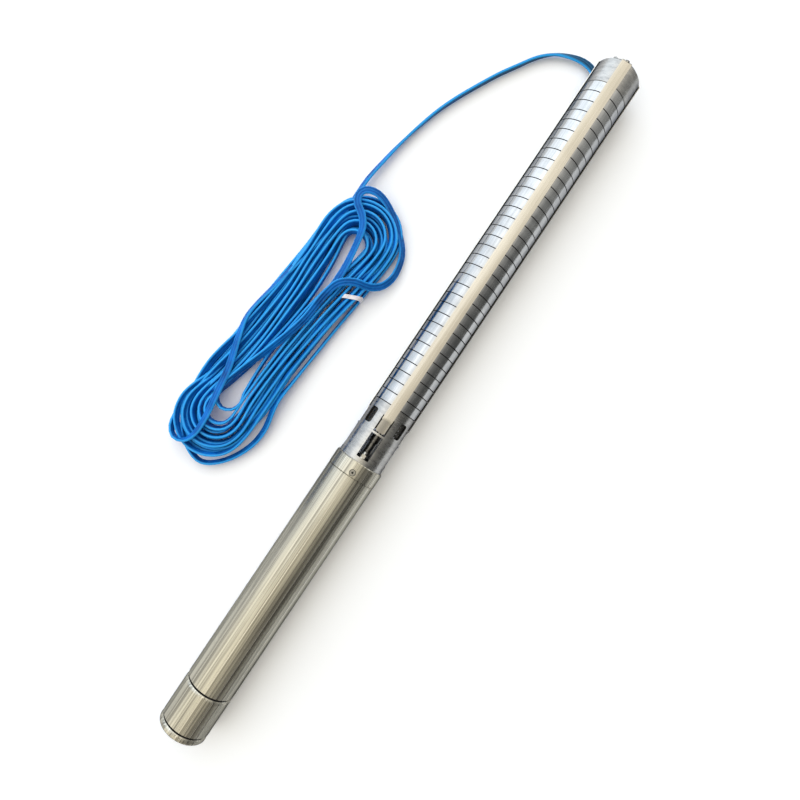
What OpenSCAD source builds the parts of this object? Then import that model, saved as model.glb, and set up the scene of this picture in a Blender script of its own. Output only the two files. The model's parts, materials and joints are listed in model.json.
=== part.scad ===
// Borehole submersible pump lying on its side, with its flat motor cable beside it.
// Every piece of the pump is drawn standing on the motor's bottom, along Z, and laid down last.

/* [Motor] */
// Outside diameter of the motor sleeve, bottom cap and lower housing
motor_d = 96; // [94:0.5:97]
// Outside diameter of the upper end bell
bell_d = 97; // [97:0.5:100]
// Height of the bottom cap
cap_h = 17; // [14:1:22]
// Height of the lower bearing housing
housing_h = 83; // [78:1:100]
// Length of the motor sleeve
sleeve_l = 465; // [400:5:600]
// Wall of the motor sleeve
sleeve_wall = 1.5; // [1:0.1:2]
// Height of the upper end bell
bell_h = 30; // [28:1:40]
// Diameter of the rotor core
rotor_d = 48; // [44:0.5:50]
// Radial water gap between rotor and stator liner
rotor_gap = 0.7; // [0.5:0.1:1]
// Diameter of the motor shaft inside the rotor
core_shaft_d = 25; // [24:0.5:28]
// Diameter of the motor shaft in its radial bearings
journal_d = 24; // [23:0.5:24]
// Diameter of the motor shaft in the lip seal
seal_shaft_d = 20; // [19:0.5:21]
// Diameter over the teeth of the splined shaft end
spline_d = 15.8; // [15:0.1:16]

/* [Suction] */
// Height of the suction interconnector
suction_h = 117; // [112:1:140]
// Outside diameter of its lower cage
cage_d = 90; // [89:0.5:92]
// Width of the four inlet windows and strap slots
window_w = 24; // [22:0.5:26]
// Height of the four inlet windows
window_h = 50; // [44:1:52]
// Width of the four oval ports
port_w = 17; // [16.5:0.5:20]
// Height of the four oval ports
port_h = 31; // [29:0.5:33]

/* [Stages] */
// Number of pump stages
stage_count = 33; // [8:1:40]
// Height of one stage
stage_pitch = 21; // [20:0.5:26]
// Outside diameter of the stage chambers
stage_d = 88; // [87:0.5:89]
// Wall of the stage chambers
stage_wall = 1.5; // [1.2:0.1:2]
// Height of the dark ring groove between two stages
groove_h = 1.7; // [1:0.1:2]
// Depth of the ring groove
groove_depth = 1; // [0.6:0.1:1.1]
// Diameter of the impellers
impeller_d = 74; // [66:1:76]
// Blades on each impeller
blade_count = 6; // [5:1:8]
// Diameter of the pump shaft
pump_shaft_d = 16; // [15:0.5:17]

/* [Straps and guard] */
// Width of the four straps
strap_w = 20; // [16:0.5:21]
// Thickness of the straps
strap_t = 1.2; // [1:0.1:1.5]
// Sheet thickness of the cable guard
guard_t = 1; // [0.8:0.1:1.5]

/* [Discharge] */
// Height of the valve casing
casing_h = 56; // [54:1:70]
// Core diameter of the discharge thread
thread_d = 44.8; // [40:0.2:48]
// Length of the discharge thread
thread_l = 24; // [20:1:24]
// Lift of the check valve
valve_lift = 8; // [5:0.5:9]

/* [Cable] */
// Width of the flat cable
cable_w = 15; // [12:0.5:15.5]
// Thickness of the flat cable
cable_t = 5.5; // [4:0.1:5.6]
// Length of the wound hank
hank_l = 620; // [560:5:640]
// Width of the wound hank
hank_w = 150; // [130:1:160]
// Height of the wound hank
hank_h = 36; // [24:1:44]

/* [Hidden] */
$fn = 72;
eps = 0.01;

// Radial gap of pieces that seat in one another
fit = 0.1;
// Radial gap of a shaft in its bearing
bearing_gap = 0.06;
// Gap between turning and standing pieces
run_gap = 0.5;
// Gap left between the faces of stacked chambers
stack_gap = 0.05;

// Radii
motor_r = motor_d / 2;
bell_r = bell_d / 2;
bore_r = motor_r - sleeve_wall;
rotor_r = rotor_d / 2;
core_shaft_r = core_shaft_d / 2;
journal_r = journal_d / 2;
seal_shaft_r = seal_shaft_d / 2;
spline_r = spline_d / 2;
cage_r = cage_d / 2;
stage_r = stage_d / 2;
stage_bore_r = stage_r - stage_wall;
impeller_r = impeller_d / 2;
pump_shaft_r = pump_shaft_d / 2;
thread_r = thread_d / 2;

// Heights above the motor's bottom
z_housing = cap_h;
z_sleeve = z_housing + housing_h;
z_bell = z_sleeve + sleeve_l;
z_flange = z_bell + bell_h;
z_stack = z_flange + suction_h;
z_casing = z_stack + stage_count * stage_pitch;
z_end = z_casing + casing_h;

// Bottom cap and lower housing
foot_round = 5;
crown_drop = 2.6;
crown_run = 7;
seam_h = 4.6;
seam_depth = 3.8;
cap_floor = 2.5;
cap_wall = 5.5;
cap_bore_r = motor_r - cap_wall;
vent_r = 3;
bead_h = 3;
membrane_t = 1.8;
membrane_h = 12;
mouth_r = 34;
housing_wall = 6.5;
housing_bore_r = motor_r - housing_wall;
mouth_h = 20;
z_thrust = z_housing + mouth_h;

// Thrust bearing
carrier_h = 12;
carrier_lip_h = 3;
carrier_lip_w = 2;
carrier_hole_r = 8;
pad_count = 6;
pad_h = 8;
pad_gap_deg = 8;
pad_inner_r = 18;
pad_outer_r = housing_bore_r - carrier_lip_w - 1.5;
disc_h = 12;
z_pads = z_thrust + carrier_h;
z_disc = z_pads + pad_h + run_gap;
thrust_end_r = 10;
thrust_end_h = disc_h + 5;

// Radial bearings
bracket_h = 14;
spigot_l = 24;
bracket_spigot_l = 12;
bush_wall = 5;
bush_r = journal_r + bearing_gap + bush_wall;
bush_seat_h = 6;

// Stator and rotor
liner_t = 0.7;
liner_inner_r = rotor_r + rotor_gap;
liner_outer_r = liner_inner_r + liner_t;
core_inner_r = liner_outer_r + fit;
core_outer_r = bore_r - fit;
z_core = z_sleeve + 55;
core_l = sleeve_l - 130;
slot_count = 24;
slot_w = 3.2;
slot_start = 2;
slot_depth = 12;
winding_gap = 0.2;
end_turn_h = 34;
end_turn_t = 15;
bar_count = 18;
bar_r = 2;
bar_ring_r = rotor_r - 3.5;
end_ring_h = 10;
end_ring_inner_r = bar_ring_r - 4.5;
rotor_inset = 8;

// Upper end bell
bell_edge = 1.5;
pilot_inset = 1.4;
pilot_h = 2.5;
pilot_r = cage_r - pilot_inset;
seal_pocket_r = seal_shaft_r + 8;
seal_h = 10;
seal_pocket_h = 12;
stud_r = 3.9;
stud_circle_r = 38.1;
stud_depth = 14;
plug_r = 8.5;
plug_circle_r = 32;
plug_depth = 16;
plug_rise = 14;
lead_angle = 225;
filler_r = 4;
filler_head_r = 5.2;
filler_head_h = 2.2;
filler_seat_gap = 1.1;
filler_socket = 4;
filler_l = 12;
z_filler = z_bell + 9;

// Suction interconnector
flange_h = 9;
shaft_hole_r = 21.5;
cage_wall = 3.5;
cage_bore_r = cage_r - cage_wall;
collar_wall = 4;
collar_bore_r = stage_r - collar_wall;
window_z = z_flange + flange_h;
bar_h = 3.5;
slit_h = 4;
z_collar = window_z + window_h + bar_h;
strap_slot_z = z_collar + slit_h;
strap_slot_h = 30;
strap_slot_floor_r = stage_r - 2.2;
strap_slot_side = 3;
port_z = z_collar + 7.5;
port_corner = 5;
stud_hole_r = stud_r + 0.4;
washer_h = 1.6;
washer_r = 6.8;
nut_h = 6.5;
nut_af = 13;
stud_tail = 5;
z_nut = z_flange + flange_h + washer_h;

// Shaft line
slinger_z = z_flange + pilot_h + 0.7;
slinger_h = 5;
slinger_lip_h = 1.6;
slinger_r = 20;
seal_shaft_tail = 9;
spline_tail = 38;
spline_teeth = 14;
spline_tooth_w = 1.7;
spline_root = 0.9;
coupling_z = z_flange + 11;
coupling_l = 46;
coupling_r = 10.6;
coupling_collar_r = 13;
coupling_collar_h = 14;
shaft_gap = 2;
shaft_stop = 3;

// One stage, measured from the bottom of its chamber
web_t = 1.2;
eye_r = 19;
register_h = 1.5;
register_w = 1.9;
ring_inner_r = 16.6;
ring_flange_r = 21;
ring_flange_h = 0.8;
collar_inner_r = 14.8;
collar_outer_r = ring_inner_r - run_gap;
shroud_t = 1.2;
front_z = web_t + ring_flange_h + run_gap;
blade_h = 5.4;
blade_t = 1.4;
blade_inset = 0.5;
blade_root = shroud_t / 2;
blade_arc_r = 27;
blade_offset = 19;
rear_z = front_z + shroud_t + blade_h;
hub_r = 13.5;
hub_z = 5;
cone_r = 10.2;
cone_top_r = 10.8;
cone_slit = 1.5;
cone_rise = 0.4;
nut_z = 1;
cone_nut_h = 3.5;
cone_nut_af = 21;
plate_z = rear_z + shroud_t + 1.6;
plate_r = 38.5;
bearing_r = 11.2;
bearing_h = 2.4;
bearing_drop = 0.6;
vane_count = 6;
vane_inner_r = 18;
vane_t = 1.2;
vane_clear = 0.2;
vane_arc_r = 30;
vane_offset = 22;

// Discharge head
head_chamfer = 7;
seat_recess_r = 36;
seat_recess_h = 5;
seat_hole_r = 22;
seat_seal_r = 27;
seat_seal_h = 0.8;
valve_chamber_r = 32;
cup_gap = 0.4;
cup_h = 3.4;
stem_r = 4;
stem_gap = 0.3;
guide_h = 4;
guide_ring_w = 2;
guide_hub_r = 7.5;
guide_stop_gap = 0.3;
guide_arm_w = 4;
spring_r = 10.5;
spring_wire = 1;
spring_turns = 5;
z_seat = z_casing + seat_recess_h;
z_cup = z_seat + seat_seal_h + cup_gap;
z_thread = z_end - thread_l;
z_guide = z_thread - guide_h;
lug_w = 10;
lug_t = 6;
lug_rise = 8;
lug_hole_r = 2.5;
lug_circle_r = 30;
lug_angle = 315;

// Straps and cable guard
strap_seat = 0.05;
strap_in_r = stage_r + strap_seat;
strap_joggle_h = 6.5;
strap_hook = 4.5;
strap_tab_gap = 0.3;
strap_tab_inset = 2.5;
strap_fold_l = 9.5;
strap_fold_end = z_end - head_chamfer;
strap_bolt_r = 2.5;
strap_bolt_head_r = 3.8;
strap_bolt_af = 3;
strap_bolt_h = 1.8;
strap_bolt_l = 9;
guard_gap = 0.25;
guard_side_gap = 0.6;
guard_flange = 8;
guard_seat = 0.15;
guard_z = port_z + port_h + 2;
guard_end = z_casing + 8;
guard_screw_r = 1.9;
guard_screw_head_r = 3.2;
guard_screw_head_h = 1.8;
guard_screw_l = 3;
guard_screw_inset = 4;

// Cable
lead_r = stage_r + guard_gap + cable_t / 2;
lead_end = guard_end + 3.5;
lead_rise_z = z_collar;
lead_out_z = lead_rise_z + 36;
cable_corner = 1.6;
// Free stretch of the cable on the floor: place, and lean of its width from upright
lead_route = [
    [682, 33.2, 15.3, 45], [704, 33, 14, 58], [722, 36.5, 12, 72], [733, 46, 10.5, 80],
    [738, 62, 9.5, 78], [737, 80, 9.5, 68], [730, 103, 9.5, 50], [719, 125, 9, 32],
    [695, 150, 8.5, 15], [663, 171, 8.5, 8], [626, 194, 8.5, 5], [586, 215, 8.5, 5],
    [545, 235, 8.5, 5], [503, 252, 8.5, 8], [452, 267, 8.5, 14], [403, 278, 8.5, 14],
    [358, 285, 8.5, 14], [314, 290, 8.5, 14], [275, 290, 8.5, 14]
];
hank_centre = [-4, 258];
hank_angle = -5.3;
hank_slot_w = 22;
hank_lift = 1.5;
tie_w = 7;
tie_t = 1;
tie_gap = 0.3;
tie_along = 118;

// The laid-down pump: its axis height and its middle
axis_h = bell_r;
overall_l = z_end + lug_rise;

// Lays an upright piece along X, with its zero angle on top
module lay() {
    translate([-overall_l / 2, 0, axis_h]) rotate([0, 90, 0]) rotate([0, 0, 180]) children();
}

module quarters() {
    for (a = [0:90:270]) rotate([0, 0, a]) children();
}

module stages() {
    for (i = [0:stage_count - 1]) translate([0, 0, z_stack + i * stage_pitch]) children();
}

module tube(z0, z1, inner, outer) {
    translate([0, 0, z0]) difference() {
        cylinder(h = z1 - z0, r = outer);
        translate([0, 0, -eps]) cylinder(h = z1 - z0 + 2 * eps, r = inner);
    }
}

module drill(z0, z1, r) {
    translate([0, 0, z0]) cylinder(h = z1 - z0, r = r);
}

module hex(z0, h, af) {
    translate([0, 0, z0]) cylinder(h = h, r = af / 2 / cos(30), $fn = 6);
}

// Half outline of a turned can with a rounded foot
module footed(r, h, foot) {
    translate([0, foot]) square([r, h - foot]);
    square([r - foot, h]);
    translate([r - foot, foot]) circle(foot);
}

// Half outline of a turned can whose upper edge falls away in a soft round, with a sunk seam above it
module crowned(r, h) {
    round_r = (crown_run * crown_run + crown_drop * crown_drop) / (2 * crown_drop);
    shoulder = h - seam_h - crown_run;
    square([r, shoulder]);
    square([r - seam_depth, h]);
    intersection() {
        translate([r - round_r, shoulder]) circle(round_r);
        translate([0, shoulder]) square([r, crown_run]);
    }
}

// One curved blade outline between two radii
module blade(inner, outer, arc_r, offset_r, t) {
    intersection() {
        difference() {
            circle(outer);
            circle(inner);
        }
        translate([offset_r, 0]) difference() {
            circle(arc_r + t / 2);
            circle(arc_r - t / 2);
        }
        translate([-outer, 0]) square([2 * outer, outer]);
    }
}

module rounded_slot(w, h, corner) {
    translate([-w / 2, corner]) square([w, h - 2 * corner]);
    translate([-w / 2 + corner, 0]) square([w - 2 * corner, h]);
    for (x = [-1, 1], y = [corner, h - corner]) translate([x * (w / 2 - corner), y]) circle(corner);
}

// Cuts an outline drawn across the pump, upright, through the wall on the zero angle side
module cut_through(inner, outer) {
    translate([inner, 0, 0]) rotate([90, 0, 90]) linear_extrude(outer - inner) children();
}

module motor_bottom_cap() {
    color("silver") lay() rotate_extrude() difference() {
        intersection() {
            footed(motor_r, cap_h, foot_round);
            crowned(motor_r, cap_h);
        }
        translate([0, cap_floor]) square([cap_bore_r, cap_h]);
        translate([0, -eps]) square([vent_r, cap_h]);
    }
}

module diaphragm() {
    top = cap_h + membrane_h;
    skirt_r = mouth_r - fit;
    color("dimgray") lay() rotate_extrude() polygon([
        [0, top - membrane_t], [skirt_r - membrane_t, top - membrane_t],
        [skirt_r - membrane_t, cap_h - bead_h], [cap_bore_r - fit, cap_h - bead_h],
        [cap_bore_r - fit, cap_h], [skirt_r, cap_h], [skirt_r, top], [0, top]
    ]);
}

module lower_bearing_housing() {
    color("silver") lay() translate([0, 0, z_housing]) rotate_extrude() difference() {
        crowned(motor_r, housing_h);
        translate([0, -eps]) square([mouth_r, housing_h]);
        translate([0, mouth_h]) square([housing_bore_r, housing_h]);
    }
}

module thrust_pad_carrier() {
    outer = housing_bore_r - fit;
    lip_top = carrier_h + carrier_lip_h;
    color("gray") lay() translate([0, 0, z_thrust]) rotate_extrude() polygon([
        [carrier_hole_r, 0], [outer, 0], [outer, lip_top], [outer - carrier_lip_w, lip_top],
        [outer - carrier_lip_w, carrier_h], [carrier_hole_r, carrier_h]
    ]);
}

module thrust_pads() {
    half = 180 / pad_count - pad_gap_deg / 2;
    reach = 2 * pad_outer_r;
    color("darkslategray") lay() for (i = [0:pad_count - 1])
        rotate([0, 0, i * 360 / pad_count]) translate([0, 0, z_pads]) linear_extrude(pad_h) intersection() {
            difference() {
                circle(pad_outer_r);
                circle(pad_inner_r);
            }
            polygon([[0, 0], [reach, -reach * tan(half)], [reach, reach * tan(half)]]);
        }
}

module lower_bracket() {
    color("slategray") lay() translate([0, 0, z_sleeve]) rotate_extrude() polygon([
        [bush_r + fit, -bracket_h], [housing_bore_r - fit, -bracket_h], [housing_bore_r - fit, 0],
        [bore_r - fit, 0], [bore_r - fit, bracket_spigot_l], [bush_r + fit, bracket_spigot_l]
    ]);
}

module radial_bush(z0, z1) {
    color("dimgray") lay() tube(z0, z1, journal_r + bearing_gap, bush_r);
}

module lower_radial_bearing() {
    radial_bush(z_sleeve - bracket_h, z_sleeve + bracket_spigot_l);
}

module upper_radial_bearing() {
    radial_bush(z_bell - spigot_l, z_bell + bush_seat_h);
}

module motor_sleeve() {
    color("lightgray") lay() tube(z_sleeve, z_bell, bore_r, motor_r);
}

module slot_ring(w, start, depth) {
    for (i = [0:slot_count - 1]) rotate(i * 360 / slot_count)
        translate([core_inner_r + start, -w / 2]) square([depth, w]);
}

module stator_core() {
    color("steelblue") lay() translate([0, 0, z_core]) linear_extrude(core_l) difference() {
        circle(core_outer_r);
        circle(core_inner_r);
        slot_ring(slot_w, slot_start, slot_depth);
    }
}

module stator_windings() {
    bar_w = slot_w - 2 * winding_gap;
    bar_depth = slot_depth - 2 * winding_gap;
    turn_inner = core_inner_r + slot_start + winding_gap;
    color("peru") lay() {
        translate([0, 0, z_core - eps]) linear_extrude(core_l + 2 * eps)
            slot_ring(bar_w, slot_start + winding_gap, bar_depth);
        for (z = [z_core - end_turn_h, z_core + core_l])
            tube(z, z + end_turn_h, turn_inner, turn_inner + end_turn_t);
    }
}

module stator_liner() {
    color("lightgray") lay()
        tube(z_sleeve + bracket_spigot_l, z_bell - spigot_l, liner_inner_r, liner_outer_r);
}

module upper_end_bell() {
    color("silver") lay() difference() {
        translate([0, 0, z_bell]) rotate_extrude() polygon([
            [bush_r + fit, -spigot_l], [bore_r - fit, -spigot_l], [bore_r - fit, 0],
            [bell_r - bell_edge, 0], [bell_r, bell_edge], [bell_r, bell_h - bell_edge],
            [bell_r - bell_edge, bell_h], [pilot_r, bell_h], [pilot_r, bell_h + pilot_h],
            [seal_pocket_r, bell_h + pilot_h], [seal_pocket_r, bell_h - seal_pocket_h],
            [journal_r + run_gap, bell_h - seal_pocket_h], [journal_r + run_gap, bush_seat_h],
            [bush_r + fit, bush_seat_h]
        ]);
        quarters() translate([stud_circle_r, 0, 0])
            drill(z_flange - stud_depth, z_flange + pilot_h + eps, stud_r + fit);
        rotate([0, 0, lead_angle]) translate([plug_circle_r, 0, 0])
            drill(z_flange - plug_depth, z_flange + pilot_h + eps, plug_r + fit);
        translate([0, 0, z_filler]) rotate([0, 90, 0]) {
            drill(bell_r - filler_l - fit, bell_r + eps, filler_r + fit);
            drill(bell_r - filler_head_h - fit, bell_r + eps, filler_head_r + filler_seat_gap);
        }
    }
}

module shaft_seal() {
    bottom = z_flange - seal_pocket_h;
    color("black") lay() tube(bottom, bottom + seal_h, seal_shaft_r + run_gap, seal_pocket_r - fit);
}

module filling_plug() {
    color("silver") lay() translate([0, 0, z_filler]) rotate([0, 90, 0]) difference() {
        union() {
            drill(bell_r - filler_l, bell_r - filler_head_h, filler_r);
            drill(bell_r - filler_head_h, bell_r - fit, filler_head_r);
        }
        hex(bell_r - filler_socket, filler_socket, filler_socket);
    }
}

module flange_studs() {
    color("silver") lay() quarters() translate([stud_circle_r, 0, 0])
        drill(z_flange - stud_depth + fit, z_nut + nut_h + stud_tail, stud_r);
}

module flange_washers() {
    color("silver") lay() quarters() translate([stud_circle_r, 0, 0])
        tube(z_flange + flange_h, z_nut, stud_r + fit, washer_r);
}

module flange_nuts() {
    color("gainsboro") lay() quarters() translate([stud_circle_r, 0, 0]) rotate([0, 0, 30]) difference() {
        hex(z_nut, nut_h, nut_af);
        drill(z_nut - eps, z_nut + nut_h + eps, stud_r + fit);
    }
}

module motor_plug() {
    color("black") lay() rotate([0, 0, lead_angle]) translate([plug_circle_r, 0, 0])
        drill(z_flange - plug_depth + fit, z_flange + plug_rise, plug_r);
}

// The lead from the plug, out through one port and along under the guard
module guarded_lead() {
    half = cable_t / 2;
    color("royalblue") lay() rotate([0, 0, lead_angle]) translate([0, cable_w / 2, 0])
        rotate([90, 0, 0]) linear_extrude(cable_w) polygon([
            [plug_circle_r - half, z_flange + plug_rise], [plug_circle_r + half, z_flange + plug_rise],
            [plug_circle_r + half, lead_rise_z], [lead_r + half, lead_out_z], [lead_r + half, lead_end],
            [lead_r - half, lead_end], [lead_r - half, lead_out_z], [plug_circle_r - half, lead_rise_z]
        ]);
}

module suction_interconnector() {
    color("silver") lay() difference() {
        translate([0, 0, z_flange]) rotate_extrude() polygon([
            [shaft_hole_r, pilot_h + fit], [pilot_r + fit, pilot_h + fit], [pilot_r + fit, 0], [cage_r, 0],
            [cage_r, z_collar - z_flange], [stage_r, z_collar - z_flange], [stage_r, suction_h],
            [stage_bore_r, suction_h], [stage_bore_r, suction_h - register_h - fit],
            [collar_bore_r, suction_h - register_h - fit], [collar_bore_r, z_collar - z_flange],
            [cage_bore_r, z_collar - z_flange - collar_wall], [cage_bore_r, flange_h],
            [shaft_hole_r, flange_h]
        ]);
        quarters() {
            translate([stud_circle_r, 0, 0]) drill(z_flange, z_flange + flange_h + eps, stud_hole_r);
            translate([cage_bore_r - collar_wall, -window_w / 2, window_z])
                cube([cage_r, window_w, window_h]);
            translate([collar_bore_r - collar_wall, -window_w / 2, z_collar])
                cube([cage_r, window_w, slit_h]);
            translate([strap_slot_floor_r, -window_w / 2, z_collar])
                cube([cage_r, window_w, slit_h + strap_slot_h]);
            for (y = [-window_w / 2, window_w / 2 - strap_slot_side])
                translate([collar_bore_r - collar_wall, y, z_collar])
                    cube([cage_r, strap_slot_side, slit_h + strap_slot_h]);
            rotate([0, 0, 45]) translate([0, 0, port_z]) cut_through(collar_bore_r - collar_wall, cage_r)
                rounded_slot(port_w, port_h, port_corner);
        }
        rotate([0, 0, lead_angle]) translate([plug_circle_r, 0, 0])
            drill(z_flange, z_flange + flange_h + eps, plug_r + 2 * fit);
        guard_screw_holes(z_stack - guard_screw_inset);
    }
}

module stage_chamber() {
    top = stage_pitch - stack_gap;
    plate_top = plate_z + web_t;
    low_vane = stage_pitch - register_h - vane_clear - plate_top;
    full_vane = stage_pitch - vane_clear - plate_top;
    register_r = stage_bore_r - fit;
    rotate_extrude() polygon([
        [eye_r, 0], [register_r - register_w, 0], [register_r - register_w, -register_h],
        [register_r, -register_h], [register_r, 0], [stage_r - groove_depth, 0],
        [stage_r - groove_depth, groove_h], [stage_r, groove_h], [stage_r, top],
        [stage_bore_r, top], [stage_bore_r, web_t], [eye_r, web_t]
    ]);
    tube(plate_z, plate_top, bearing_r + fit, plate_r);
    for (i = [0:vane_count - 1]) rotate([0, 0, i * 360 / vane_count]) {
        translate([0, 0, plate_top - eps]) linear_extrude(low_vane + eps)
            blade(vane_inner_r, stage_bore_r + stage_wall / 2, vane_arc_r, vane_offset, vane_t);
        translate([0, 0, plate_top - eps]) linear_extrude(full_vane + eps)
            blade(vane_inner_r, register_r - register_w - fit, vane_arc_r, vane_offset, vane_t);
    }
}

module stage_chambers() {
    color("gainsboro") lay() stages() stage_chamber();
}

module neck_rings() {
    color("darkolivegreen") lay() stages() rotate_extrude() polygon([
        [ring_inner_r, 0], [eye_r - fit, 0], [eye_r - fit, web_t + fit], [ring_flange_r, web_t + fit],
        [ring_flange_r, web_t + ring_flange_h], [ring_inner_r, web_t + ring_flange_h]
    ]);
}

module stage_bearings() {
    color("black") lay() stages()
        translate([0, 0, plate_z - bearing_drop]) tube(0, bearing_h, pump_shaft_r + bearing_gap, bearing_r);
}

module impeller() {
    rotate_extrude() polygon([
        [collar_inner_r, run_gap], [collar_outer_r, run_gap], [collar_outer_r, front_z],
        [impeller_r, front_z],
        [impeller_r, front_z + shroud_t], [collar_inner_r, front_z + shroud_t]
    ]);
    rotate_extrude() polygon([
        [cone_r + fit, hub_z], [hub_r, hub_z], [hub_r, rear_z], [impeller_r, rear_z],
        [impeller_r, rear_z + shroud_t], [cone_top_r + fit, rear_z + shroud_t]
    ]);
    translate([0, 0, front_z + shroud_t - blade_root]) linear_extrude(blade_h + 2 * blade_root)
        for (i = [0:blade_count - 1]) rotate(i * 360 / blade_count)
            blade(collar_inner_r + blade_t, impeller_r - blade_inset, blade_arc_r, blade_offset, blade_t);
}

module impellers() {
    color("lightsteelblue") lay() stages() impeller();
}

module split_cones() {
    top = rear_z + shroud_t + cone_rise;
    color("silver") lay() stages() difference() {
        rotate_extrude() polygon([
            [pump_shaft_r + fit / 2, hub_z], [cone_r, hub_z],
            [cone_top_r, top], [pump_shaft_r + fit / 2, top]
        ]);
        translate([0, -cone_slit / 2, 0]) cube([2 * cone_r, cone_slit, stage_pitch]);
    }
}

module cone_nuts() {
    color("gray") lay() stages() difference() {
        hex(nut_z, cone_nut_h, cone_nut_af);
        drill(0, stage_pitch, pump_shaft_r + fit);
    }
}

module pump_shaft() {
    color("silver") lay() drill(z_flange + spline_tail + shaft_gap, z_casing - shaft_stop, pump_shaft_r);
}

module spline(grow) {
    intersection() {
        circle(spline_r + grow);
        union() {
            circle(spline_r - spline_root + grow);
            for (i = [0:spline_teeth - 1]) rotate(i * 360 / spline_teeth)
                translate([0, -spline_tooth_w / 2 - grow]) square([spline_d, spline_tooth_w + 2 * grow]);
        }
    }
}

module motor_shaft() {
    z_seat_end = z_disc + thrust_end_h;
    z_core_end = z_core + core_l;
    color("silver") lay() {
        drill(z_disc, z_seat_end, thrust_end_r);
        drill(z_seat_end, z_core, journal_r);
        drill(z_core, z_core_end, core_shaft_r);
        drill(z_core_end, z_bell + bush_seat_h, journal_r);
        drill(z_bell + bush_seat_h, z_flange + seal_shaft_tail, seal_shaft_r);
        translate([0, 0, z_flange + seal_shaft_tail])
            linear_extrude(spline_tail - seal_shaft_tail) spline(0);
    }
}

module rotor_core() {
    color("slategray") lay() translate([0, 0, z_core + rotor_inset])
        linear_extrude(core_l - 2 * rotor_inset)
        difference() {
            circle(rotor_r);
            circle(core_shaft_r + fit);
            for (i = [0:bar_count - 1]) rotate(i * 360 / bar_count)
                translate([bar_ring_r, 0]) circle(bar_r + fit);
        }
}

module rotor_cage() {
    z0 = z_core + rotor_inset;
    z1 = z_core + core_l - rotor_inset;
    color("sienna") lay() {
        for (i = [0:bar_count - 1]) rotate([0, 0, i * 360 / bar_count]) translate([bar_ring_r, 0, 0])
            drill(z0 - eps, z1 + eps, bar_r);
        tube(z0 - end_ring_h, z0, end_ring_inner_r, rotor_r - fit);
        tube(z1, z1 + end_ring_h, end_ring_inner_r, rotor_r - fit);
    }
}

module thrust_disc() {
    color("dimgray") lay() tube(z_disc, z_disc + disc_h, thrust_end_r + fit, pad_outer_r);
}

module sand_slinger() {
    color("black") lay() translate([0, 0, slinger_z]) rotate_extrude() polygon([
        [seal_shaft_r + fit / 2, 0], [slinger_r, 0], [slinger_r, slinger_lip_h],
        [seal_shaft_r + slinger_lip_h, slinger_h], [seal_shaft_r + fit / 2, slinger_h]
    ]);
}

module shaft_coupling() {
    top = coupling_z + coupling_l;
    split = z_flange + spline_tail + shaft_gap / 2;
    color("gainsboro") lay() difference() {
        union() {
            drill(coupling_z, top, coupling_r);
            drill(top - coupling_collar_h, top, coupling_collar_r);
        }
        translate([0, 0, coupling_z - eps]) linear_extrude(split - coupling_z + eps) spline(fit);
        drill(split - eps, top + eps, pump_shaft_r + fit / 2);
    }
}

module valve_casing() {
    chamber_floor = seat_recess_h;
    chamber_top = casing_h - thread_l;
    register_r = stage_bore_r - fit;
    color("silver") lay() difference() {
        translate([0, 0, z_casing]) rotate_extrude() polygon([
            [seat_recess_r, 0], [register_r - register_w, 0], [register_r - register_w, -register_h],
            [register_r, -register_h], [register_r, 0], [stage_r - groove_depth, 0],
            [stage_r - groove_depth, groove_h], [stage_r, groove_h],
            [stage_r, casing_h - head_chamfer], [stage_r - head_chamfer, casing_h], [thread_r, casing_h],
            [thread_r, chamber_top], [valve_chamber_r, chamber_top], [valve_chamber_r, chamber_floor],
            [seat_recess_r, chamber_floor]
        ]);
        quarters() strap_bolt_place() drill(-strap_bolt_l - fit, strap_t, strap_bolt_r + fit);
        guard_screw_holes(guard_end - guard_screw_inset);
    }
}

module valve_seat() {
    color("gainsboro") lay() tube(z_casing, z_seat, seat_hole_r, seat_recess_r - fit);
}

module valve_seat_seal() {
    color("black") lay() tube(z_seat, z_seat + seat_seal_h, seat_hole_r + fit, seat_seal_r);
}

module valve_cup() {
    color("silver") lay() translate([0, 0, z_cup]) rotate_extrude() polygon([
        [0, 0], [seat_seal_r, 0], [seat_seal_r, cup_h / 2], [spring_r + 2 * spring_wire, cup_h],
        [stem_r, cup_h], [stem_r, z_thread - z_cup - fit], [0, z_thread - z_cup - fit]
    ]);
}

module valve_guide() {
    ring_r = valve_chamber_r - fit;
    hub_foot = z_cup + cup_h + valve_lift + guide_stop_gap;
    color("lightgray") lay() {
        tube(z_guide, z_thread, ring_r - guide_ring_w, ring_r);
        tube(hub_foot, z_thread - fit, stem_r + stem_gap, guide_hub_r);
        for (a = [60:120:300]) rotate([0, 0, a]) translate([guide_hub_r - 1, -guide_arm_w / 2, z_guide])
            cube([ring_r - guide_hub_r - guide_ring_w / 2 + 1, guide_arm_w, guide_h - fit]);
    }
}

// Points of a closed tube swept through rings of points, with its two end faces
module swept(rings) {
    sides = len(rings[0]);
    last = len(rings) - 1;
    points = [for (ring = rings, p = ring) p];
    walls = [
        for (i = [0:last - 1], j = [0:sides - 1])
            let (k = (j + 1) % sides, low = i * sides, high = low + sides)
                each [[low + j, low + k, high + k], [low + j, high + k, high + j]]
    ];
    start = [for (j = [sides - 1:-1:0]) j];
    finish = [for (j = [0:sides - 1]) last * sides + j];
    polyhedron(points, concat([start], walls, [finish]));
}

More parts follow.
